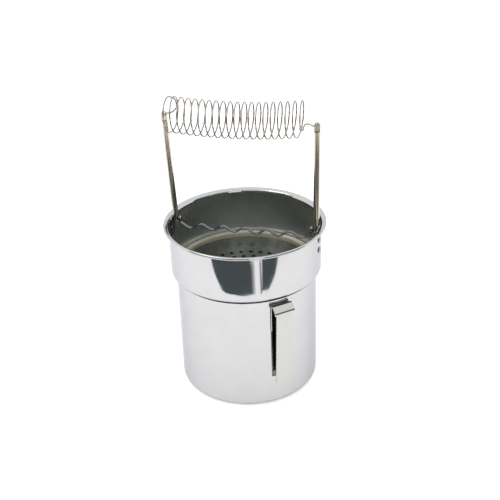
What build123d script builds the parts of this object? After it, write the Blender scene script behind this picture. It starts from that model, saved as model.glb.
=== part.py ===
"""Brush washer: a stepped steel cup with a strainer, a brush rest and a spring brush holder.

Millimetres. The origin is the centre of the cup's underside, +Z is up, and +X runs along
the brush holder, from its left post to its right post.
"""

import os
from math import atan, cos, degrees, pi, radians, sin, sqrt

from build123d import *

# Cup
sheet = 0.6
body_radius = 50.9
corner_radius = 6.5
collar_radius = 54.6
collar_bottom = 89.0
collar_corner = 3.5
lip_radius = 58.0
total_height = 126.5
lip_depth = 2.3
lip_flare = 2.8
lip_flare_angle = 75
lip_flare_drop = 0.4

# Strainer, loose on the ledge under the collar
strainer_sheet = 0.5
strainer_radius = 49.6
strainer_floor = 77.5
strainer_corner = 1.5
flange_bottom = 90.6
flange_radius = 53.0
perforation_radius = 1.6
perforation_rings = {8.0: 6, 15.0: 12, 22.0: 18, 29.0: 24, 36.0: 30, 43.0: 36}

# Brackets, rivets and pivot pins inside the collar
bracket_sheet = 0.8
bracket_bottom = 105.5
bracket_top = 125.9
bracket_front = -6.5
bracket_back = 3.5
bracket_corner = 2.0
rivet_heights = {"upper": 118.0, "lower": 110.0}
rivet_angle = -4.8
rivet_radius = 1.2
rivet_head_radius = 2.3
rivet_head_height = 0.9
rivet_head_edge = 0.7
rivet_tail_radius = 1.84
rivet_tail_height = 0.5
fit_gap = 0.05
pivot_height = 123.6
pin_radius = 1.0
pin_head_radius = 1.7
pin_head_length = 0.9
pin_head_edge = 0.6

# Wavy brush rest
strip_width = 3.0
strip_sheet = 0.8
wave_height = 118.2
wave_amplitude = 1.75
wave_length = 16.3
wave_count = 5.5
points_per_wave = 8
end_bend_radius = 3.0
eye_radius = 2.4
strip_gap = 0.25

# Brush holder
post_radius = 2.2
post_x = 51.5
post_flat = 52.7
post_flat_length = 9.0
post_bottom = 121.4
foot_round = 1.4
left_post_top = (-54.7, 204.4)
right_post_top = (52.1, 202.7)
flat_sheet = 2.0
flat_height = 6.5
top_round = 1.9
spring_hole_radius = 1.1
spring_hole_below_top = 2.0
wire_radius = 0.55
coil_radius = 12.3
coil_height = 200.85
coil_rise = 0.028
coil_sag = 0.00127
coil_pitch = 4.94
coil_left = -47.3
coil_quarter_turns = 73
hook_radius = 2.2
hook_gap = 0.03
bend_handle = 0.39

# Hanging clip on the cup's side
clip_angle = -48.9
clip_width = 15.4
clip_tongue_width = 13.2
clip_tongue_top = 79.0
clip_sheet = 1.0
clip_bend_radius = 1.6
clip_leaf_bottom = 64.0
clip_top = 86.8
clip_shoulder = 80.4
clip_tip = 22.0
clip_reach_shoulder = 6.6
clip_reach_tip = 4.0

bracket_radius = collar_radius - sheet - bracket_sheet


def make_pot_shell():
    """Cup, ledge, collar and rolled lip: one sheet, turned about Z, with the rivet holes."""
    inner_body = body_radius - sheet
    inner_collar = collar_radius - sheet
    ledge = collar_bottom + sheet
    inner_corner = collar_corner - sheet
    flare_bottom = total_height - lip_flare - lip_flare_drop
    lip_round = lip_depth / 2
    with BuildPart() as shell:
        with BuildSketch(Plane.XZ):
            with BuildLine():
                inside = Polyline(
                    (0, sheet),
                    (inner_body - corner_radius + sheet, sheet),
                )
                inner_bend = RadiusArc(
                    inside @ 1, (inner_body, corner_radius), -(corner_radius - sheet)
                )
                wall = Polyline(
                    inner_bend @ 1,
                    (inner_body, ledge),
                    (inner_collar - inner_corner, ledge),
                )
                ledge_bend = RadiusArc(
                    wall @ 1, (inner_collar, ledge + inner_corner), -inner_corner
                )
                collar_wall = Line(ledge_bend @ 1, (inner_collar, flare_bottom))
                flare = JernArc(collar_wall @ 1, (0, 1), lip_flare, -lip_flare_angle)
                crest = Line(flare @ 1, (lip_radius - lip_round, total_height))
                roll = RadiusArc(
                    crest @ 1, (lip_radius - lip_round, total_height - lip_depth), lip_round
                )
                under = Polyline(
                    roll @ 1,
                    (collar_radius, total_height - lip_depth),
                    (collar_radius, collar_bottom + collar_corner),
                )
                outer_ledge = RadiusArc(
                    under @ 1, (collar_radius - collar_corner, collar_bottom), collar_corner
                )
                outside = Polyline(
                    outer_ledge @ 1,
                    (body_radius, collar_bottom),
                    (body_radius, corner_radius),
                )
                outer_bend = RadiusArc(
                    outside @ 1, (body_radius - corner_radius, 0), corner_radius
                )
                Polyline(outer_bend @ 1, (0, 0), (0, sheet))
            make_face()
        revolve(axis=Axis.Z)
        for side in (-1, 1):
            for height in rivet_heights.values():
                with Locations(rivet_plane(side, height).location):
                    Cylinder(rivet_radius, 4 * sheet, mode=Mode.SUBTRACT)
    return shell


def rivet_plane(side, height):
    """Plane on the collar's outer wall at a rivet, facing outwards."""
    angle = radians(rivet_angle)
    outwards = Vector(side * cos(angle), sin(angle), 0)
    return Plane(origin=outwards * collar_radius + Vector(0, 0, height), z_dir=outwards)


def make_rivet(side, height):
    """Domed rivet through the collar and the bracket, with its tail inside."""
    tail = -(sheet + bracket_sheet + fit_gap)
    with BuildPart() as rivet:
        with BuildSketch(rivet_plane(side, height)):
            Circle(rivet_radius)
        extrude(amount=tail)
        with BuildSketch(rivet_plane(side, height)):
            Circle(rivet_head_radius)
        extrude(amount=rivet_head_height)
        rims = rivet.edges().filter_by(GeomType.CIRCLE).group_by(SortBy.RADIUS)[-1]
        fillet(rims[-1], rivet_head_edge)
        with BuildSketch(rivet_plane(side, height).offset(tail)):
            Circle(rivet_tail_radius)
        extrude(amount=-rivet_tail_height)
    return rivet


def make_bracket(side):
    """Curved plate inside the collar that holds a pivot pin."""
    width = bracket_back - bracket_front
    with BuildPart() as bracket:
        with BuildSketch(Plane.XY.offset(bracket_bottom)):
            Circle(collar_radius - sheet)
            Circle(bracket_radius, mode=Mode.SUBTRACT)
            with Locations((side * collar_radius, (bracket_front + bracket_back) / 2)):
                Rectangle(20, width, mode=Mode.INTERSECT)
        extrude(amount=bracket_top - bracket_bottom)
        corners = bracket.edges().filter_by(
            lambda edge: abs(edge.tangent_at(0.5).X) > 0.9
        )
        fillet(corners, bracket_corner)
        for height in rivet_heights.values():
            with Locations(rivet_plane(side, height).location):
                Cylinder(rivet_radius, 6 * sheet, mode=Mode.SUBTRACT)
        with Locations(Location((side * collar_radius, 0, pivot_height), (0, 90, 0))):
            Cylinder(pin_radius, 6, mode=Mode.SUBTRACT)
    return bracket


def make_pivot_pin(side):
    """Pin along X: fixed in the bracket, through the post's foot and the strip's eye."""
    tip = side * (collar_radius - sheet - fit_gap)
    shoulder = side * strip_eye_inside()
    with BuildPart() as pin:
        with BuildSketch(Plane(origin=(tip, 0, pivot_height), z_dir=(-side, 0, 0))):
            Circle(pin_radius)
        extrude(amount=abs(tip - shoulder))
        with BuildSketch(Plane(origin=(shoulder, 0, pivot_height), z_dir=(-side, 0, 0))):
            Circle(pin_head_radius)
        extrude(amount=pin_head_length)
        ends = pin.faces().sort_by(Axis.X)[0 if side > 0 else -1].edges()
        fillet(ends, pin_head_edge)
    return pin


def strip_eye_outside():
    """Distance of the eye's outer face from the middle, just clear of the posts."""
    return post_x - post_radius - strip_gap


def strip_eye_inside():
    return strip_eye_outside() - strip_sheet


def wave(x):
    return wave_height + wave_amplitude * cos(2 * pi * x / wave_length)


def wave_slope(x):
    return -2 * pi * wave_amplitude / wave_length * sin(2 * pi * x / wave_length)


def wave_edge(shift):
    """The waved stretch, moved by shift along its own normal."""
    reach = wave_count * wave_length / 2
    steps = round(wave_count * points_per_wave)
    points = []
    for step in range(steps + 1):
        x = -reach + 2 * reach * step / steps
        length = sqrt(1 + wave_slope(x) ** 2)
        points.append((x - shift * wave_slope(x) / length, wave(x) + shift / length))
    return points


def make_wave_strip():
    """Flat strip across the mouth, bent in waves, with an upright eye at each end."""
    half = strip_sheet / 2
    reach = wave_count * wave_length / 2
    rise = degrees(atan(wave_slope(reach)))
    eye_x = strip_eye_outside() - half
    with BuildPart() as strip:
        with BuildSketch(Plane.XZ):
            with BuildLine():
                for shift in (half, -half):
                    run = Spline(*wave_edge(shift))
                    for side, start in ((1, run @ 1), (-1, run @ 0)):
                        bend = end_bend_radius - shift
                        turn = 90 - abs(rise)
                        across = bend * (1 - sin(radians(abs(rise))))
                        slant = eye_x - shift - across - abs(start.X)
                        corner = (
                            start.X + side * slant,
                            start.Y + slant * abs(wave_slope(reach)),
                        )
                        Line(start, corner)
                        arc = JernArc(corner, (side, abs(wave_slope(reach))), bend, side * turn)
                        Line(arc @ 1, ((arc @ 1).X, pivot_height))
                for side in (-1, 1):
                    Line((side * (eye_x - half), pivot_height), (side * (eye_x + half), pivot_height))
            make_face()
        extrude(amount=strip_width / 2, both=True)
        for side in (-1, 1):
            with Locations(Location((side * eye_x, 0, pivot_height), (0, 90, 0))):
                Cylinder(eye_radius, strip_sheet)
                Cylinder(pin_radius, 2 * strip_sheet, mode=Mode.SUBTRACT)
    return strip


def make_strainer():
    """Perforated dish that hangs in the cup by its flange."""
    inner = strainer_radius - strainer_sheet
    top = flange_bottom + strainer_sheet
    with BuildPart() as strainer:
        with BuildSketch(Plane.XZ):
            with BuildLine():
                Polyline(
                    (0, strainer_floor),
                    (strainer_radius, strainer_floor),
                    (strainer_radius, flange_bottom),
                    (flange_radius, flange_bottom),
                    (flange_radius, top),
                    (inner, top),
                    (inner, strainer_floor + strainer_sheet),
                    (0, strainer_floor + strainer_sheet),
                    close=True,
                )
            make_face()
        revolve(axis=Axis.Z)
        bottom_edge = strainer.faces().sort_by(Axis.Z)[0].edges()
        fillet(bottom_edge, strainer_corner)
        with BuildSketch(Plane.XY.offset(strainer_floor)):
            Circle(perforation_radius)
            for ring, count in perforation_rings.items():
                with PolarLocations(ring, count):
                    Circle(perforation_radius)
        extrude(amount=strainer_sheet, mode=Mode.SUBTRACT)
    return strainer


def post_plane(side, top):
    """Plane at the post's pivot, with Z along the leaning post."""
    foot = Vector(side * post_x, 0, pivot_height)
    along = Vector(top[0], 0, top[1]) - foot
    return Plane(origin=foot, x_dir=(along.Z, 0, -along.X), z_dir=along), along.length


def spring_hole(side, top):
    """Centre of the hole that takes the spring's hook."""
    plane, length = post_plane(side, top)
    return plane.from_local_coords((0, 0, length - spring_hole_below_top))


def make_post(side, top):
    """Round rod with a drilled foot on the pin and a drilled top between two flats."""
    plane, length = post_plane(side, top)
    foot_drop = pivot_height - post_bottom
    with BuildPart() as post:
        with BuildSketch(plane.offset(-foot_drop)):
            Circle(post_radius)
        extrude(amount=length + foot_drop)
        fillet(post.faces().sort_by(Axis.Z)[0].edges(), foot_round)
        fillet(post.faces().sort_by(Axis.Z)[-1].edges(), top_round)
        for face in (-1, 1):
            middle = plane.from_local_coords((0, face * (flat_sheet + 5) / 2, length - flat_height / 2))
            with Locations(Location(middle, plane.location.orientation)):
                Box(20, 5, flat_height, mode=Mode.SUBTRACT)
        with Locations(Location(spring_hole(side, top), (90, 0, 0))):
            Cylinder(spring_hole_radius, 3 * flat_sheet, mode=Mode.SUBTRACT)
        foot_middle = pivot_height + (post_flat_length - foot_drop) / 2
        with Locations((side * (post_flat + 5), 0, foot_middle)):
            Box(10, 20, post_flat_length + foot_drop, mode=Mode.SUBTRACT)
        with Locations(Location((side * post_x, 0, pivot_height), (0, 90, 0))):
            Cylinder(pin_radius + fit_gap, 8, mode=Mode.SUBTRACT)
    return post


def bend_through(stations):
    """Smooth wire through stations of (point, direction), one Bezier from each to the next."""
    for (start, leaving), (end, arriving) in zip(stations, stations[1:]):
        handle = bend_handle * (Vector(end) - Vector(start)).length
        Bezier(
            start,
            Vector(start) + Vector(leaving).normalized() * handle,
            Vector(end) - Vector(arriving).normalized() * handle,
            end,
        )


def coil_axis_height(x):
    """Height of the coil's axis, which sags a little between the posts."""
    return coil_height + coil_rise * x + coil_sag * x**2


def coil_station(turn):
    """Point and direction on the coil, counted in turns from its first crest."""
    angle = 2 * pi * turn
    x = coil_left + coil_pitch * turn
    around = 2 * pi * coil_radius
    slope = (coil_rise + 2 * coil_sag * x) * coil_pitch
    point = (x, -coil_radius * sin(angle), coil_axis_height(x) + coil_radius * cos(angle))
    return point, (coil_pitch, -around * cos(angle), slope - around * sin(angle))


def hook_arc(x, z, side):
    """Half turn through a post's hole, open towards the coil."""
    ThreePointArc(
        (x, -hook_radius, z),
        (x + side * hook_radius, 0, z),
        (x, hook_radius, z),
    )


def make_coil_spring():
    """Stretched coil between the posts, hooked through the hole in each post's top.

    Between each hook and the coil the wire passes a few stations of (point, direction).
    """
    left_hole = spring_hole(-1, left_post_top)
    right_hole = spring_hole(1, right_post_top)
    play = spring_hole_radius - wire_radius - hook_gap
    left_hook = left_hole.X - play + hook_radius
    right_hook = right_hole.X + play - hook_radius
    middle = coil_axis_height(coil_left)
    coil = [coil_station(quarter / 4) for quarter in range(coil_quarter_turns + 1)]
    with BuildPart() as spring:
        with BuildLine() as path:
            hook_arc(left_hook, left_hole.Z, -1)
            bend_through([
                ((left_hook, hook_radius, left_hole.Z), (1, 0, 0)),
                ((coil_left - 0.3, 7.3, middle + 4.6), (-0.05, 0, 1)),
                ((coil_left - 2.4, 3.4, middle + 11.2), (-0.5, -1, 0.4)),
                ((coil_left - 3.4, -3.5, middle + 12.6), (-0.15, -1, -0.35)),
                ((coil_left - 3.5, -coil_radius, middle), (0.03, 0, -1)),
                ((coil_left - 2.4, 0, middle - coil_radius), (0.2, 1, 0)),
                ((coil_left - 1.1, coil_radius, middle), (0.1, 0, 1)),
            ] + coil)
            bend_through([
                coil[-1],
                ((43.6, -9.7, 199.9), (1, 0.7, 0)),
                ((44.4, -7.8, 201.9), (0.4, 0.5, 1)),
                ((46.0, -5.8, 203.2), (1, 0.5, 0)),
                ((right_hook, -hook_radius, right_hole.Z), (1, 0, 0)),
            ])
            hook_arc(right_hook, right_hole.Z, 1)
        wire = path.wires()[0]
        with BuildSketch(Plane(origin=wire @ 0, z_dir=wire % 0)):
            Circle(wire_radius)
        sweep(path=wire)
    return spring


def make_hanging_clip():
    """Strap folded over at the top: inner leaf on the cup, outer tongue standing off."""
    back = body_radius + clip_sheet / 2
    angle = radians(clip_angle)
    outwards = Vector(cos(angle), sin(angle), 0)
    across = Vector(sin(angle), -cos(angle), 0)
    with BuildPart() as clip:
        with BuildSketch(Plane(origin=(0, 0, 0), x_dir=outwards, z_dir=across)):
            with BuildLine():
                FilletPolyline(
                    (back, clip_leaf_bottom),
                    (back, clip_top - clip_sheet / 2),
                    (body_radius + clip_reach_shoulder, clip_shoulder),
                    (body_radius + clip_reach_tip, clip_tip),
                    radius=clip_bend_radius,
                )
            trace(line_width=clip_sheet)
        extrude(amount=clip_width / 2, both=True)
        tongue = outwards * (body_radius + clip_reach_shoulder)
        for side in (-1, 1):
            middle = tongue + across * side * (clip_tongue_width / 2 + 5)
            with Locations(Location((middle.X, middle.Y, clip_tongue_top / 2), (0, 0, clip_angle))):
                Box(9, 10, clip_tongue_top, mode=Mode.SUBTRACT)
    return clip


os.makedirs("parts", exist_ok=True)

pot_shell = make_pot_shell()
pot_shell.part.label = "pot_shell"
export_step(pot_shell.part, "parts/pot_shell.step")

hanging_clip = make_hanging_clip()
hanging_clip.part.label = "hanging_clip"
export_step(hanging_clip.part, "parts/hanging_clip.step")

for name, side in (("left", -1), ("right", 1)):
    bracket = make_bracket(side)
    bracket.part.label = f"{name}_bracket"
    export_step(bracket.part, f"parts/{name}_bracket.step")
    pivot_pin = make_pivot_pin(side)
    pivot_pin.part.label = f"{name}_pivot_pin"
    export_step(pivot_pin.part, f"parts/{name}_pivot_pin.step")
    for level, height in rivet_heights.items():
        rivet = make_rivet(side, height)
        rivet.part.label = f"{name}_rivet_{level}"
        export_step(rivet.part, f"parts/{name}_rivet_{level}.step")

wave_strip = make_wave_strip()
wave_strip.part.label = "wave_strip"
export_step(wave_strip.part, "parts/wave_strip.step")

strainer_tray = make_strainer()
strainer_tray.part.label = "strainer_tray"
export_step(strainer_tray.part, "parts/strainer_tray.step")

left_post = make_post(-1, left_post_top)
left_post.part.label = "left_post"
export_step(left_post.part, "parts/left_post.step")

right_post = make_post(1, right_post_top)
right_post.part.label = "right_post"
export_step(right_post.part, "parts/right_post.step")

coil_spring = make_coil_spring()
coil_spring.part.label = "coil_spring"
export_step(coil_spring.part, "parts/coil_spring.step")
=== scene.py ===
"""Brush washer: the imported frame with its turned, bent and wound pieces remade for close viewing.

Metres, in the frame of the CAD model: +Z up, +X along the brush holder, origin under the cup.
"""

from math import atan, cos, pi, radians, sin

import bpy
from mathutils import Matrix, Vector


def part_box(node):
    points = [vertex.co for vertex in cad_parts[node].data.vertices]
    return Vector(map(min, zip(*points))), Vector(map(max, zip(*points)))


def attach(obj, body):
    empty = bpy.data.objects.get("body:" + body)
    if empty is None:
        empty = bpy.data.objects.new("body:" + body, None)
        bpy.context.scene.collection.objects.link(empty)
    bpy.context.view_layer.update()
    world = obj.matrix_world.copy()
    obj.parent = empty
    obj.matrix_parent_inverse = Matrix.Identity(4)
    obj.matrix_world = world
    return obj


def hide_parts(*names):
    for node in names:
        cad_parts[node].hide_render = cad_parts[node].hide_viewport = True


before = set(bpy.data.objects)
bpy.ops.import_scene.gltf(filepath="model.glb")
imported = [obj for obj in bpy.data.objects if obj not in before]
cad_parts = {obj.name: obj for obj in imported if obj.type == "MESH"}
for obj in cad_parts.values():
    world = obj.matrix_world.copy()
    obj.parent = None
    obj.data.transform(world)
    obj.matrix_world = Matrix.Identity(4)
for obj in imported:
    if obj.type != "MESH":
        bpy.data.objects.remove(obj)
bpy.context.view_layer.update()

MM = 0.001

# Cup
SHEET = 0.6 * MM
BODY_RADIUS = 50.9 * MM
CORNER_RADIUS = 6.5 * MM
COLLAR_RADIUS = 54.6 * MM
COLLAR_BOTTOM = 89.0 * MM
COLLAR_CORNER = 3.5 * MM
LIP_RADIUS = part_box("pot_shell")[1][0]
CUP_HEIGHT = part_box("pot_shell")[1][2]
LIP_DEPTH = 2.3 * MM
LIP_FLARE = 2.8 * MM
LIP_GROOVE = 0.25 * MM
LEDGE_BEND = 0.4 * MM
CUP_SEGMENTS = 384
OUTER_FINISH_ROWS = 12

# Wavy brush rest
STRIP_WIDTH = 3.0 * MM
STRIP_SHEET = 0.8 * MM
WAVE_HEIGHT = 118.2 * MM
WAVE_AMPLITUDE = 1.75 * MM
WAVE_LENGTH = 16.3 * MM
WAVE_COUNT = 5.5
WAVE_STEPS = 220
END_BEND = 3.0 * MM
STRIP_EDGE = 0.22 * MM
EYE_RADIUS = 2.4 * MM
EYE_EDGE = 0.2 * MM
PIN_RADIUS = 1.0 * MM
PIVOT_HEIGHT = 123.6 * MM

# Coil spring
WIRE_RADIUS = 0.55 * MM
COIL_RADIUS = 12.3 * MM
COIL_HEIGHT = 200.85 * MM
COIL_RISE = 0.028
COIL_SAG = 1.27
COIL_PITCH = 4.94 * MM
COIL_LEFT = -47.3 * MM
COIL_TURNS = 18.25
TURN_STEPS = 56
WIRE_SIDES = 14
BEND_HANDLE = 0.39
HOOK_RADIUS = 2.2 * MM
SPRING_HOLE_RADIUS = 1.1 * MM
SPRING_HOLE_BELOW_TOP = 2.0 * MM
HOOK_GAP = 0.03 * MM
POST_X = 51.5 * MM
LEFT_POST_TOP = (-54.7 * MM, 204.4 * MM)
RIGHT_POST_TOP = (52.1 * MM, 202.7 * MM)

# Hanging clip
CLIP_ANGLE = radians(-48.9)
CLIP_WIDTH = 15.4 * MM
CLIP_TONGUE_WIDTH = 13.2 * MM
CLIP_TONGUE_TOP = 79.0 * MM
CLIP_SHEET = 1.0 * MM
CLIP_BEND = 1.6 * MM
CLIP_EDGE = 0.28 * MM
CLIP_BACK_BOTTOM = 64.0 * MM
CLIP_BACK_TOP = 86.3 * MM
CLIP_FOLD_REACH = 6.6 * MM
CLIP_FOLD_HEIGHT = 80.4 * MM
CLIP_TIP_REACH = 4.0 * MM
CLIP_TIP_HEIGHT = 22.0 * MM
CLIP_NECK_STEP = 0.2 * MM

# Camera
CAMERA_AZIMUTH = radians(14.8)
CAMERA_ELEVATION = radians(27.87)
CAMERA_DISTANCE = 0.6816
CAMERA_ROLL = radians(-1.96)
CAMERA_LENS = 68.0
CAMERA_TARGET_SIDE = 0.003
CAMERA_TARGET_HEIGHT = 0.1021

# Finish and stage
GRAZING_TINT = (0.70, 0.70, 0.74)
# Heights of a band of painted shade: near-black colour in the cup's outer steel under the collar's
# step, standing for the shade of the crease.
CREASE_SHADE_LOW = 87.45 * MM
CREASE_SHADE_HIGH = 90.7 * MM
# Heights of a painted highlight: a brighter golden colour on the strainer's flange at the ledge.
FLANGE_GLINT_LOW = 88.4 * MM
FLANGE_GLINT_HIGH = 95.0 * MM
FLOOR_HALF = 3.0
FLOOR_GLOW = 0.32
CARD_HEIGHT = 0.0004
EDGE_CARD_HEIGHT = 0.0003
WALL_REACH = 1.2
WALL_BOTTOM = 0.02
WALL_TOP = 0.95
WORLD_STRENGTH = 1.22


# ---------------------------------------------------------------- mesh helpers


def mesh_object(name, vertices, faces, material, sharp=35):
    """Smooth-shaded mesh with edges sharper than the angle kept sharp."""
    mesh = bpy.data.meshes.new(name)
    mesh.from_pydata([tuple(v) for v in vertices], [], faces)
    mesh.materials.append(material)
    mesh.polygons.foreach_set("use_smooth", [True] * len(mesh.polygons))
    mesh.set_sharp_from_angle(angle=radians(sharp))
    mesh.update()
    obj = bpy.data.objects.new(name, mesh)
    bpy.context.scene.collection.objects.link(obj)
    return obj


def arc(centre, radius, start, end, steps):
    """Points on an arc in the outline's plane, from start to end degrees."""
    points = []
    for step in range(steps + 1):
        angle = radians(start + (end - start) * step / steps)
        points.append((centre[0] + radius * cos(angle), centre[1] + radius * sin(angle)))
    return points


def straight(start, end, steps):
    """Points from start to end, without end itself."""
    return [
        (start[0] + (end[0] - start[0]) * i / steps, start[1] + (end[1] - start[1]) * i / steps)
        for i in range(steps)
    ]


def lathe(outline, segments, place=Matrix()):
    """Closed outline of (radius, height) turned about Z: its vertices and faces."""
    vertices, rings = [], []
    for radius, height in outline:
        if radius < 1e-7:
            rings.append([len(vertices)] * segments)
            vertices.append(place @ Vector((0, 0, height)))
            continue
        rings.append(list(range(len(vertices), len(vertices) + segments)))
        for i in range(segments):
            angle = 2 * pi * i / segments
            vertices.append(place @ Vector((radius * cos(angle), radius * sin(angle), height)))
    faces = []
    for low, high in zip(rings, rings[1:] + rings[:1]):
        for i in range(segments):
            j = (i + 1) % segments
            corners = [low[i], low[j], high[j], high[i]]
            face = [c for k, c in enumerate(corners) if c != corners[k - 1]]
            if len(face) > 2:
                faces.append(face)
    return vertices, faces


def swept(stations, section):
    """Closed section carried through stations of (point, normal, binormal): vertices, faces."""
    vertices, faces = [], []
    count = len(section)
    for point, normal, binormal in stations:
        for u, v in section:
            vertices.append(Vector(point) + Vector(normal) * u + Vector(binormal) * v)
    for row in range(len(stations) - 1):
        for i in range(count):
            j = (i + 1) % count
            a, b = row * count, (row + 1) * count
            faces.append((a + i, a + j, b + j, b + i))
    faces.append(tuple(reversed(range(count))))
    last = (len(stations) - 1) * count
    faces.append(tuple(range(last, last + count)))
    return vertices, faces


def joined(*parts):
    """Several (vertices, faces) as one."""
    vertices, faces = [], []
    for more_vertices, more_faces in parts:
        shift = len(vertices)
        vertices += list(more_vertices)
        faces += [tuple(i + shift for i in face) for face in more_faces]
    return vertices, faces


def rounded_rectangle(width, height, radius, steps=4):
    """Section centred on zero, width along the normal and height along the binormal."""
    points = []
    for side_u, side_v, start in ((1, 1, 0), (-1, 1, 90), (-1, -1, 180), (1, -1, 270)):
        centre = (side_u * (width / 2 - radius), side_v * (height / 2 - radius))
        points += arc(centre, radius, start, start + 90, steps)
    return points


def filleted(corners, radius, steps=10):
    """Polyline through corners with each inner corner rounded, as (x, z) points."""
    points = [corners[0]]
    for before, corner, after in zip(corners, corners[1:], corners[2:]):
        here = Vector(corner)
        back = (Vector(before) - here).normalized()
        on = (Vector(after) - here).normalized()
        half = back.angle(on) / 2
        centre = here + (back + on).normalized() * radius / sin(half)
        first = here + back * radius / (sin(half) / cos(half)) - centre
        turn = pi - 2 * half
        side = 1 if back.x * on.y - back.y * on.x < 0 else -1
        for step in range(steps + 1):
            angle = side * turn * step / steps
            points.append((
                centre.x + first.x * cos(angle) - first.y * sin(angle),
                centre.y + first.x * sin(angle) + first.y * cos(angle),
            ))
    points.append(corners[-1])
    return points


def band(points, outwards, across, section, scales=None):
    """Strap with its centre line given as (along outwards, height), swept with section.

    scales narrow or widen the section across the strap, point by point.
    """
    stations = []
    scales = scales or [1.0] * len(points)
    for i, point in enumerate(points):
        before = Vector(points[max(i - 1, 0)])
        after = Vector(points[min(i + 1, len(points) - 1)])
        along = (after - before).normalized()
        place = outwards * point[0] + Vector((0, 0, point[1]))
        normal = outwards * along.y - Vector((0, 0, along.x))
        stations.append((place, normal, across * scales[i]))
    return swept(stations, section)


def tube(points, radius, sides=16):
    """Round wire along points, with domed ends."""
    tangents = []
    for i in range(len(points)):
        ahead = points[min(i + 1, len(points) - 1)] - points[max(i - 1, 0)]
        tangents.append(ahead.normalized())
    normal = tangents[0].orthogonal().normalized()
    stations = []
    for point, tangent in zip(points, tangents):
        normal = (normal - tangent * normal.dot(tangent)).normalized()
        stations.append((point, normal, tangent.cross(normal), radius))
    dome = [(0.97, 0.25), (0.8, 0.6), (0.45, 0.9)]
    first, last = stations[0], stations[-1]
    starts = [
        (first[0] - tangents[0] * radius * rise, first[1], first[2], radius * size)
        for size, rise in reversed(dome)
    ]
    ends = [
        (last[0] + tangents[-1] * radius * rise, last[1], last[2], radius * size)
        for size, rise in dome
    ]
    circle = [(cos(2 * pi * i / sides), sin(2 * pi * i / sides)) for i in range(sides)]
    sized = []
    for point, normal, binormal, size in starts + stations + ends:
        sized.append((point, normal * size, binormal * size))
    return swept(sized, circle)


# ------------------------------------------------------------------- materials


def node(tree, kind, **inputs):
    """New shader node with some of its inputs set."""
    made = tree.nodes.new(kind)
    for name, value in inputs.items():
        made.inputs[name.replace("_", " ")].default_value = value
    return made


def steel(name, colour, roughness, grain, brushed=0.5, anisotropic=0.0, stain=0.0):
    """Stainless steel: fine drawn or turned lines, soft smudges and a slight worn mottle.

    grain is how often the lines repeat along X, Y and Z, in lines per metre.
    """
    material = bpy.data.materials.new(name)
    material.use_nodes = True
    tree = material.node_tree
    tree.nodes.clear()
    link = tree.links.new
    output = tree.nodes.new("ShaderNodeOutputMaterial")
    shader = node(tree, "ShaderNodeBsdfPrincipled", Metallic=1.0, Anisotropic=anisotropic)
    shader.inputs["Specular Tint"].default_value = (*GRAZING_TINT, 1)
    link(shader.outputs[0], output.inputs[0])
    place = tree.nodes.new("ShaderNodeTexCoord").outputs["Object"]

    stretch = node(tree, "ShaderNodeMapping", Scale=grain)
    link(place, stretch.inputs["Vector"])
    lines = node(tree, "ShaderNodeTexNoise", Scale=1.0, Detail=4.0, Roughness=0.6)
    link(stretch.outputs[0], lines.inputs["Vector"])
    smudges = node(tree, "ShaderNodeTexNoise", Scale=55.0, Detail=5.0, Roughness=0.62)
    link(place, smudges.inputs["Vector"])
    specks = node(tree, "ShaderNodeTexNoise", Scale=900.0, Detail=2.0, Roughness=0.5)
    link(place, specks.inputs["Vector"])

    tone = node(tree, "ShaderNodeMapRange")
    tone.inputs["From Min"].default_value = 0.25
    tone.inputs["From Max"].default_value = 0.75
    tone.inputs["To Min"].default_value = 1.0 - 0.06 * brushed
    tone.inputs["To Max"].default_value = 1.0 + 0.05 * brushed
    link(lines.outputs["Fac"], tone.inputs["Value"])
    dulled = node(tree, "ShaderNodeMapRange")
    dulled.inputs["From Min"].default_value = 0.35
    dulled.inputs["From Max"].default_value = 0.75
    dulled.inputs["To Min"].default_value = 1.0
    dulled.inputs["To Max"].default_value = 1.0 - 0.05 - stain
    link(smudges.outputs["Fac"], dulled.inputs["Value"])
    shade = node(tree, "ShaderNodeMath")
    shade.operation = "MULTIPLY"
    link(tone.outputs[0], shade.inputs[0])
    link(dulled.outputs[0], shade.inputs[1])
    tint = node(tree, "ShaderNodeMix")
    tint.data_type = "RGBA"
    tint.blend_type = "MULTIPLY"
    tint.inputs["Factor"].default_value = 1.0
    tint.inputs["A"].default_value = (*colour, 1)
    link(shade.outputs[0], tint.inputs["B"])
    link(tint.outputs["Result"], shader.inputs["Base Color"])

    worn = node(tree, "ShaderNodeMapRange")
    worn.inputs["From Min"].default_value = 0.3
    worn.inputs["From Max"].default_value = 0.75
    worn.inputs["To Min"].default_value = roughness
    worn.inputs["To Max"].default_value = roughness + 0.07
    link(smudges.outputs["Fac"], worn.inputs["Value"])
    link(worn.outputs[0], shader.inputs["Roughness"])

    relief = node(tree, "ShaderNodeMath")
    relief.operation = "MULTIPLY_ADD"
    relief.inputs[1].default_value = 0.25
    link(specks.outputs["Fac"], relief.inputs[0])
    link(lines.outputs["Fac"], relief.inputs[2])
    bump = node(tree, "ShaderNodeBump", Strength=0.12 * brushed, Distance=0.00003)
    link(relief.outputs[0], bump.inputs["Height"])
    link(bump.outputs[0], shader.inputs["Normal"])
    return material


def plain(name, colour, glow=0.0):
    """Dull stage material, which may glow a little as paper on a light table does."""
    material = bpy.data.materials.new(name)
    material.use_nodes = True
    shader = material.node_tree.nodes["Principled BSDF"]
    shader.inputs["Base Color"].default_value = (*colour, 1)
    shader.inputs["Roughness"].default_value = 0.9
    shader.inputs["Specular IOR Level"].default_value = 0.0
    shader.inputs["Emission Color"].default_value = (1, 1, 1, 1)
    shader.inputs["Emission Strength"].default_value = glow
    return material


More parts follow.
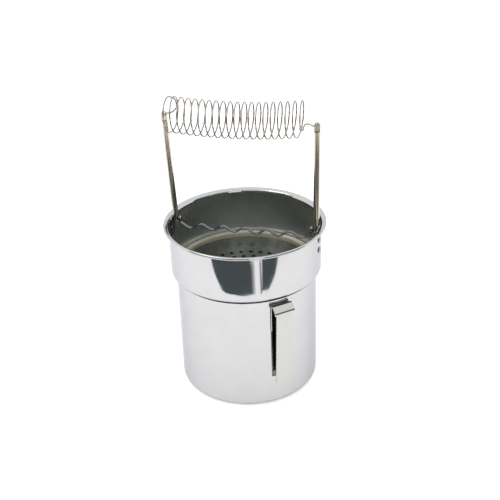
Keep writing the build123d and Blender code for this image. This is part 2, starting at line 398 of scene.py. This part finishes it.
def banded(material, low, high, colour, soft, roughness):
    """Another colour and roughness between two heights, with a softly broken edge.

    Heights are the object's own, which for every piece of this scene is the height above the floor.
    """
    tree = material.node_tree
    link = tree.links.new
    shader = tree.nodes["Principled BSDF"]
    place = tree.nodes.new("ShaderNodeTexCoord").outputs["Object"]
    split = tree.nodes.new("ShaderNodeSeparateXYZ")
    link(place, split.inputs[0])
    # Noise that breaks the band's edge; the bands carry painted shade in the cup's crease and a
    # painted highlight on the strainer's flange.
    band_edge_noise = node(tree, "ShaderNodeTexNoise", Scale=180.0, Detail=3.0)
    link(place, band_edge_noise.inputs["Vector"])
    height = node(tree, "ShaderNodeMath")
    height.operation = "MULTIPLY_ADD"
    height.inputs[1].default_value = soft
    link(band_edge_noise.outputs["Fac"], height.inputs[0])
    link(split.outputs["Z"], height.inputs[2])
    rise = node(tree, "ShaderNodeMapRange", From_Min=low, From_Max=low + soft)
    fall = node(tree, "ShaderNodeMapRange", From_Min=high + soft, From_Max=high)
    mask = node(tree, "ShaderNodeMath")
    mask.operation = "MULTIPLY"
    for k, side in enumerate((rise, fall)):
        link(height.outputs[0], side.inputs["Value"])
        link(side.outputs[0], mask.inputs[k])
    changes = (("Base Color", (*colour, 1), "RGBA"), ("Roughness", roughness, "FLOAT"))
    for name, value, kind in changes:
        blend = tree.nodes.new("ShaderNodeMix")
        blend.data_type = kind
        before, after = [end for end in blend.inputs if end.enabled and end.name in "AB"]
        after.default_value = value
        link(mask.outputs[0], blend.inputs[0])
        link(shader.inputs[name].links[0].from_socket, before)
        link([end for end in blend.outputs if end.enabled][0], shader.inputs[name])


CUP_OUTSIDE = steel("cup_steel", (0.51, 0.508, 0.515), 0.03, (25, 25, 2500), 0.25)
CUP_INSIDE = steel("cup_inside_steel", (0.50, 0.535, 0.54), 0.26, (25, 25, 2500), 0.6, 0.85, 0.1)
CLIP_STEEL = steel("clip_steel", (0.51, 0.50, 0.48), 0.10, (900, 900, 40), 0.5)
STRIP_STEEL = steel("strip_steel", (0.155, 0.163, 0.159), 0.14, (40, 900, 900), 0.5)
WIRE_STEEL = steel("spring_steel", (0.37, 0.345, 0.31), 0.12, (500, 500, 500), 0.4)
POST_STEEL = steel("post_steel", (0.62, 0.565, 0.46), 0.12, (900, 900, 30), 0.4)
SCREEN_STEEL = steel("screen_steel", (0.42, 0.435, 0.40), 0.26, (700, 60, 60), 0.8, 0.0, 0.25)
BRACKET_STEEL = steel("bracket_steel", (0.31, 0.30, 0.28), 0.16, (900, 900, 60), 0.6)
RIVET_STEEL = steel("rivet_steel", (0.39, 0.38, 0.355), 0.12, (400, 400, 400), 0.6)
# Painted shade: a near-black, rougher band in the cup's outer steel under the collar's step, there
# from every side.
banded(CUP_OUTSIDE, CREASE_SHADE_LOW, CREASE_SHADE_HIGH, (0.03, 0.03, 0.03), 0.3 * MM, 0.25)
# Painted highlight: a brighter, golden, rougher band on the strainer's flange at the ledge.
banded(SCREEN_STEEL, FLANGE_GLINT_LOW, FLANGE_GLINT_HIGH, (0.80, 0.72, 0.56), 0.2 * MM, 0.5)


# ---------------------------------------------------------------------- pieces


def cup_outline():
    """(radius, height) points of the sheet: up the inside, over the lip, down the outside.

    Also gives the index of the point where the inside ends.
    """
    inner_body = BODY_RADIUS - SHEET
    inner_collar = COLLAR_RADIUS - SHEET
    ledge = COLLAR_BOTTOM + SHEET
    flare_bottom = CUP_HEIGHT - LIP_FLARE - 0.4 * MM
    roll = LIP_DEPTH / 2
    flare = arc((inner_collar + LIP_FLARE, flare_bottom), LIP_FLARE, 180, 105, 14)
    inside = [(0, SHEET)]
    inside += straight((0.012, SHEET), (inner_body - CORNER_RADIUS + SHEET, SHEET), 4)
    inside += arc(
        (inner_body - CORNER_RADIUS + SHEET, CORNER_RADIUS), CORNER_RADIUS - SHEET, -90, 0, 16
    )
    bend_bottom = ledge - LEDGE_BEND
    inside += straight((inner_body, CORNER_RADIUS + 4 * MM), (inner_body, bend_bottom), 8)
    inside += arc((inner_body + LEDGE_BEND, bend_bottom), LEDGE_BEND, 180, 90, 5)
    inside += arc(
        (inner_collar - COLLAR_CORNER + SHEET, ledge + COLLAR_CORNER - SHEET),
        COLLAR_CORNER - SHEET, -90, 0, 12,
    )
    inside += straight((inner_collar, ledge + COLLAR_CORNER), (inner_collar, flare_bottom), 6)
    inside += flare
    crest = arc((LIP_RADIUS - roll, CUP_HEIGHT - roll), roll, 90, -90, 16)
    outside = crest
    under = CUP_HEIGHT - LIP_DEPTH
    outside += [(COLLAR_RADIUS + 3 * LIP_GROOVE, under), (COLLAR_RADIUS + 2 * LIP_GROOVE, under)]
    outside += arc((COLLAR_RADIUS + LIP_GROOVE, under), LIP_GROOVE, 0, 180, 6)
    outside += straight((COLLAR_RADIUS, under - 1.0 * MM), (COLLAR_RADIUS, 95 * MM), 6)
    outside += arc(
        (COLLAR_RADIUS - COLLAR_CORNER, COLLAR_BOTTOM + COLLAR_CORNER), COLLAR_CORNER, 0, -90, 14
    )
    outside += [(BODY_RADIUS + 0.1 * MM, COLLAR_BOTTOM), (BODY_RADIUS, COLLAR_BOTTOM - 0.1 * MM)]
    outside += straight((BODY_RADIUS, 84 * MM), (BODY_RADIUS, CORNER_RADIUS), 8)
    outside += arc(
        (BODY_RADIUS - CORNER_RADIUS, CORNER_RADIUS), CORNER_RADIUS, 0, -90, 18
    )
    outside += [(0.02, 0), (0, 0)]
    return inside + outside, len(inside)


def make_cup():
    """Cup with duller steel inside; the last rows of the flare have the outer finish."""
    outline, inside_count = cup_outline()
    vertices, faces = lathe(outline, CUP_SEGMENTS)
    cup = mesh_object("cup", vertices, faces, CUP_OUTSIDE, 40)
    cup.data.materials.append(CUP_INSIDE)
    split = (inside_count - 1 - OUTER_FINISH_ROWS) * CUP_SEGMENTS
    for polygon in cup.data.polygons:
        if polygon.index < split:
            polygon.material_index = 1
    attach(cup, "pot")
    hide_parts("pot_shell")


def make_clip():
    """Strap folded over at its top, with a narrower tongue hanging in front of the wall."""
    outwards = Vector((cos(CLIP_ANGLE), sin(CLIP_ANGLE), 0))
    across = Vector((-sin(CLIP_ANGLE), cos(CLIP_ANGLE), 0))
    back = BODY_RADIUS + CLIP_SHEET / 2
    corners = [
        (back, CLIP_BACK_BOTTOM),
        (back, CLIP_BACK_TOP),
        (BODY_RADIUS + CLIP_FOLD_REACH, CLIP_FOLD_HEIGHT),
        (BODY_RADIUS + CLIP_TIP_REACH, CLIP_TIP_HEIGHT),
    ]
    points = filleted(corners, CLIP_BEND)
    tip = points.pop()
    start = points[-1]
    share = (start[1] - CLIP_TONGUE_TOP) / (start[1] - tip[1])
    neck = (start[0] + (tip[0] - start[0]) * share, CLIP_TONGUE_TOP)
    below = (neck[0], neck[1] - CLIP_NECK_STEP)
    scales = [1.0] * (len(points) + 1) + [CLIP_TONGUE_WIDTH / CLIP_WIDTH] * 2
    section = rounded_rectangle(CLIP_SHEET, CLIP_WIDTH, CLIP_EDGE)
    strap = band(points + [neck, below, tip], outwards, across, section, scales)
    clip = mesh_object("clip", *strap, CLIP_STEEL)
    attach(clip, "pot")
    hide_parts("hanging_clip")


def wave_points():
    """Centre line of the strip from its left eye to its right eye, as (x, z)."""
    reach = WAVE_COUNT * WAVE_LENGTH / 2
    slope = 2 * pi * WAVE_AMPLITUDE / WAVE_LENGTH
    rise = atan(slope)
    eye_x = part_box("wave_strip")[1][0] - STRIP_SHEET / 2
    across = END_BEND * (1 - sin(rise))
    slant = eye_x - across - reach
    middle = []
    for step in range(WAVE_STEPS + 1):
        x = -reach + 2 * reach * step / WAVE_STEPS
        middle.append((x, WAVE_HEIGHT + WAVE_AMPLITUDE * cos(2 * pi * x / WAVE_LENGTH)))
    corner = (reach + slant, WAVE_HEIGHT + slant * slope)
    centre = (corner[0] - END_BEND * sin(rise), corner[1] + END_BEND * cos(rise))
    bend = []
    for step in range(13):
        angle = rise - pi / 2 + (pi / 2 - rise) * step / 12
        bend.append((centre[0] + END_BEND * cos(angle), centre[1] + END_BEND * sin(angle)))
    right = bend + [(eye_x, PIVOT_HEIGHT)]
    left = [(-x, z) for x, z in reversed(right)]
    return left + middle + right, eye_x


def make_strip():
    """Wavy strip with a round eye at each end for the pivot pins."""
    points, eye_x = wave_points()
    section = rounded_rectangle(STRIP_SHEET, STRIP_WIDTH, STRIP_EDGE)
    parts = [band(points, Vector((1, 0, 0)), Vector((0, -1, 0)), section)]
    half = STRIP_SHEET / 2
    flat = EYE_RADIUS - EYE_EDGE
    ring = [(PIN_RADIUS, -half), (flat, -half)]
    ring += arc((flat, -half + EYE_EDGE), EYE_EDGE, -90, 0, 4)
    ring += arc((flat, half - EYE_EDGE), EYE_EDGE, 0, 90, 4)
    ring += [(PIN_RADIUS, half)]
    for side in (-1, 1):
        turn = Matrix.Translation((side * eye_x, 0, PIVOT_HEIGHT)) @ Matrix.Rotation(pi / 2, 4, "Y")
        parts.append(lathe(ring, 48, turn))
    strip = mesh_object("strip", *joined(*parts), STRIP_STEEL)
    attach(strip, "pot")
    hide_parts("wave_strip")


def bezier(start, leaving, end, arriving, steps):
    """Points of a smooth bend from start to end, without end itself."""
    handle = BEND_HANDLE * (end - start).length
    a, b = start + leaving.normalized() * handle, end - arriving.normalized() * handle
    points = []
    for step in range(steps):
        t = step / steps
        s = 1 - t
        points.append(start * s**3 + a * 3 * s * s * t + b * 3 * s * t * t + end * t**3)
    return points


def bend_through(stations, steps=20):
    """Points of a smooth line through stations of (point, direction), without the last one."""
    points = []
    for (start, leaving), (end, arriving) in zip(stations, stations[1:]):
        points += bezier(Vector(start), Vector(leaving), Vector(end), Vector(arriving), steps)
    return points


def hook(x, z, side, steps=16):
    """Half turn through a post's hole, from one side of the post to the other."""
    return [
        Vector((x + side * HOOK_RADIUS * sin(a), -HOOK_RADIUS * cos(a), z))
        for a in (pi * i / steps for i in range(steps + 1))
    ]


def spring_hole(side, top):
    """Centre of the hole that takes the spring's hook, on the leaning post's axis."""
    foot = Vector((side * POST_X, PIVOT_HEIGHT))
    along = Vector(top) - foot
    return foot + along.normalized() * (along.length - SPRING_HOLE_BELOW_TOP)


def coil_axis_height(x):
    """Height of the coil's axis, which sags a little between the posts."""
    return COIL_HEIGHT + COIL_RISE * x + COIL_SAG * x**2


def coil_station(turn):
    """Point and direction on the coil, counted in turns from its first crest."""
    angle = 2 * pi * turn
    x = COIL_LEFT + COIL_PITCH * turn
    around = 2 * pi * COIL_RADIUS
    slope = (COIL_RISE + 2 * COIL_SAG * x) * COIL_PITCH
    point = Vector((x, -COIL_RADIUS * sin(angle), coil_axis_height(x) + COIL_RADIUS * cos(angle)))
    return point, Vector((COIL_PITCH, -around * cos(angle), slope - around * sin(angle)))


def make_coil():
    """Wire from the left post's hole through the coil to the right post's hole."""
    play = SPRING_HOLE_RADIUS - WIRE_RADIUS - HOOK_GAP
    left_x, left_z = spring_hole(-1, LEFT_POST_TOP)
    right_x, right_z = spring_hole(1, RIGHT_POST_TOP)
    left_x += HOOK_RADIUS - play
    right_x -= HOOK_RADIUS - play
    first = coil_station(0)
    last = coil_station(COIL_TURNS)
    axis = Vector((COIL_LEFT, 0, coil_axis_height(COIL_LEFT)))
    points = hook(left_x, left_z, -1)[:-1]
    points += bend_through([
        ((left_x, HOOK_RADIUS, left_z), (1, 0, 0)),
        (axis + Vector((-0.3, 7.3, 4.6)) * MM, (-0.05, 0, 1)),
        (axis + Vector((-2.4, 3.4, 11.2)) * MM, (-0.5, -1, 0.4)),
        (axis + Vector((-3.4, -3.5, 12.6)) * MM, (-0.15, -1, -0.35)),
        (axis + Vector((-3.5, -12.3, 0)) * MM, (0.03, 0, -1)),
        (axis + Vector((-2.4, 0, -12.3)) * MM, (0.2, 1, 0)),
        (axis + Vector((-1.1, 12.3, 0)) * MM, (0.1, 0, 1)),
        first,
    ])
    steps = round(COIL_TURNS * TURN_STEPS)
    points += [coil_station(COIL_TURNS * i / steps)[0] for i in range(steps)]
    points += bend_through([
        last,
        (Vector((43.6, -9.7, 199.9)) * MM, (1, 0.7, 0)),
        (Vector((44.4, -7.8, 201.9)) * MM, (0.4, 0.5, 1)),
        (Vector((46.0, -5.8, 203.2)) * MM, (1, 0.5, 0)),
        ((right_x, -HOOK_RADIUS, right_z), (1, 0, 0)),
    ])
    points += hook(right_x, right_z, 1)
    coil = mesh_object("coil", *tube(points, WIRE_RADIUS, WIRE_SIDES), WIRE_STEEL)
    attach(coil, "brush_holder")
    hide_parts("coil_spring")


def finish_cad_nodes():
    """Materials on the CAD nodes that stay."""
    looks = {
        "strainer_tray": SCREEN_STEEL,
        "left_bracket": BRACKET_STEEL,
        "right_bracket": BRACKET_STEEL,
        "left_rivet_upper": RIVET_STEEL,
        "left_rivet_lower": RIVET_STEEL,
        "right_rivet_upper": RIVET_STEEL,
        "right_rivet_lower": RIVET_STEEL,
        "left_pivot_pin": RIVET_STEEL,
        "right_pivot_pin": RIVET_STEEL,
        "left_post": POST_STEEL,
        "right_post": POST_STEEL,
    }
    for name, material in looks.items():
        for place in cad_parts[name].material_slots:
            place.material = material


make_cup()
make_clip()
make_strip()
make_coil()
finish_cad_nodes()


# ----------------------------------------------------------------------- stage


def card(name, points, material):
    """Card seen only in the steel's reflections, turned to the side that the camera is on."""
    turn = Matrix.Rotation(CAMERA_AZIMUTH, 4, "Z")
    corners = [turn @ Vector(point) for point in points]
    made = mesh_object(name, corners, [tuple(range(len(corners)))], material)
    made.visible_camera = False
    made.visible_diffuse = False
    made.visible_shadow = False


def polar(reach, bearing, height=CARD_HEIGHT):
    """Point at a bearing in degrees to the right of the camera's own direction."""
    return (reach * sin(radians(bearing)), -reach * cos(radians(bearing)), height)


def make_stage():
    """Pale floor, and the cards and walls whose reflections darken parts of the steel."""
    half = FLOOR_HALF
    floor = mesh_object(
        "floor", [(-half, -half, 0), (half, -half, 0), (half, half, 0), (-half, half, 0)],
        [(0, 1, 2, 3)], plain("paper", (0.94, 0.94, 0.94), FLOOR_GLOW),
    )
    dark = plain("card", (0.082, 0.096, 0.101))
    near = [(0.275, -47.5), (0.253, -43.6), (0.233, -37), (0.213, -28), (0.210, -17), (0.210, 5.2)]
    far = [(0.28, 5.2), (0.555, 7), (0.555, -20), (0.555, -45), (0.555, -70)]
    side = [(0.31, -75), (0.31, -48)]
    card("card_left", [polar(*place) for place in near + far + side], dark)
    near = [(0.221, 19.6), (0.222, 28), (0.246, 38), (0.274, 43.3)]
    side = [(0.31, 44), (0.31, 75)]
    far = [(0.555, 70), (0.555, 45), (0.555, 21), (0.28, 21)]
    card("card_right", [polar(*place) for place in near + side + far], dark)
    gap = [(0.33, 7), (0.33, 21), (0.555, 21), (0.555, 7)]
    card("card_gap", [polar(*place) for place in gap], dark)
    edges = ((5.2, 6.3, 0.10), (6.3, 7.6, 0.20), (7.6, 9.2, 0.42), (9.2, 10.8, 0.65))
    edges += ((17.0, 17.8, 0.68), (17.8, 18.6, 0.42), (18.6, 19.6, 0.18))
    for low, high, tone in edges:
        grey = plain("card_grey", (tone, tone, tone))
        corners = ((0.210, low), (0.210, high), (0.28, high), (0.28, low))
        card("card_edge", [polar(*place, EDGE_CARD_HEIGHT) for place in corners], grey)
    for name, bearings in (("wall_left", range(-80, 7, 6)), ("wall_right", range(24, 85, 6))):
        low = [polar(WALL_REACH, bearing, WALL_BOTTOM) for bearing in bearings]
        high = [polar(WALL_REACH, bearing, WALL_TOP) for bearing in reversed(bearings)]
        card(name, low + high, dark)


def area_light(name, place, size, power, target=(0, 0, 0.1)):
    """Rectangular light at place, aimed at target."""
    data = bpy.data.lights.new(name, "AREA")
    data.shape = "RECTANGLE"
    data.size, data.size_y = size
    data.energy = power
    light = bpy.data.objects.new(name, data)
    light.location = place
    aim = Vector(target) - Vector(place)
    light.rotation_euler = aim.to_track_quat("-Z", "Y").to_euler()
    bpy.context.scene.collection.objects.link(light)


def make_light():
    """Even white surroundings with one weak soft key."""
    world = bpy.data.worlds.new("studio")
    bpy.context.scene.world = world
    world.use_nodes = True
    background = world.node_tree.nodes["Background"]
    background.inputs["Color"].default_value = (1.0, 1.0, 1.0, 1)
    background.inputs["Strength"].default_value = WORLD_STRENGTH
    area_light("key", (-0.9, -0.8, 1.5), (1.0, 1.0), 6)


def make_camera():
    """Camera looking down at the front of the cup, with a slight roll."""
    side = Vector((cos(CAMERA_AZIMUTH), sin(CAMERA_AZIMUTH), 0))
    ahead = Vector((
        -sin(CAMERA_AZIMUTH) * cos(CAMERA_ELEVATION),
        cos(CAMERA_AZIMUTH) * cos(CAMERA_ELEVATION),
        -sin(CAMERA_ELEVATION),
    ))
    up = side.cross(ahead)
    right = side * cos(CAMERA_ROLL) + up * sin(CAMERA_ROLL)
    above = up * cos(CAMERA_ROLL) - side * sin(CAMERA_ROLL)
    target = side * CAMERA_TARGET_SIDE + Vector((0, 0, CAMERA_TARGET_HEIGHT))
    data = bpy.data.cameras.new("camera")
    data.lens = CAMERA_LENS
    data.sensor_width = 36
    data.clip_start = 0.01
    camera = bpy.data.objects.new("camera", data)
    place = Matrix((right, above, -ahead)).transposed().to_4x4()
    place.translation = target - ahead * CAMERA_DISTANCE
    camera.matrix_world = place
    bpy.context.scene.collection.objects.link(camera)
    bpy.context.scene.camera = camera


make_stage()
make_light()
make_camera()
bpy.context.scene.view_settings.view_transform = "Standard"
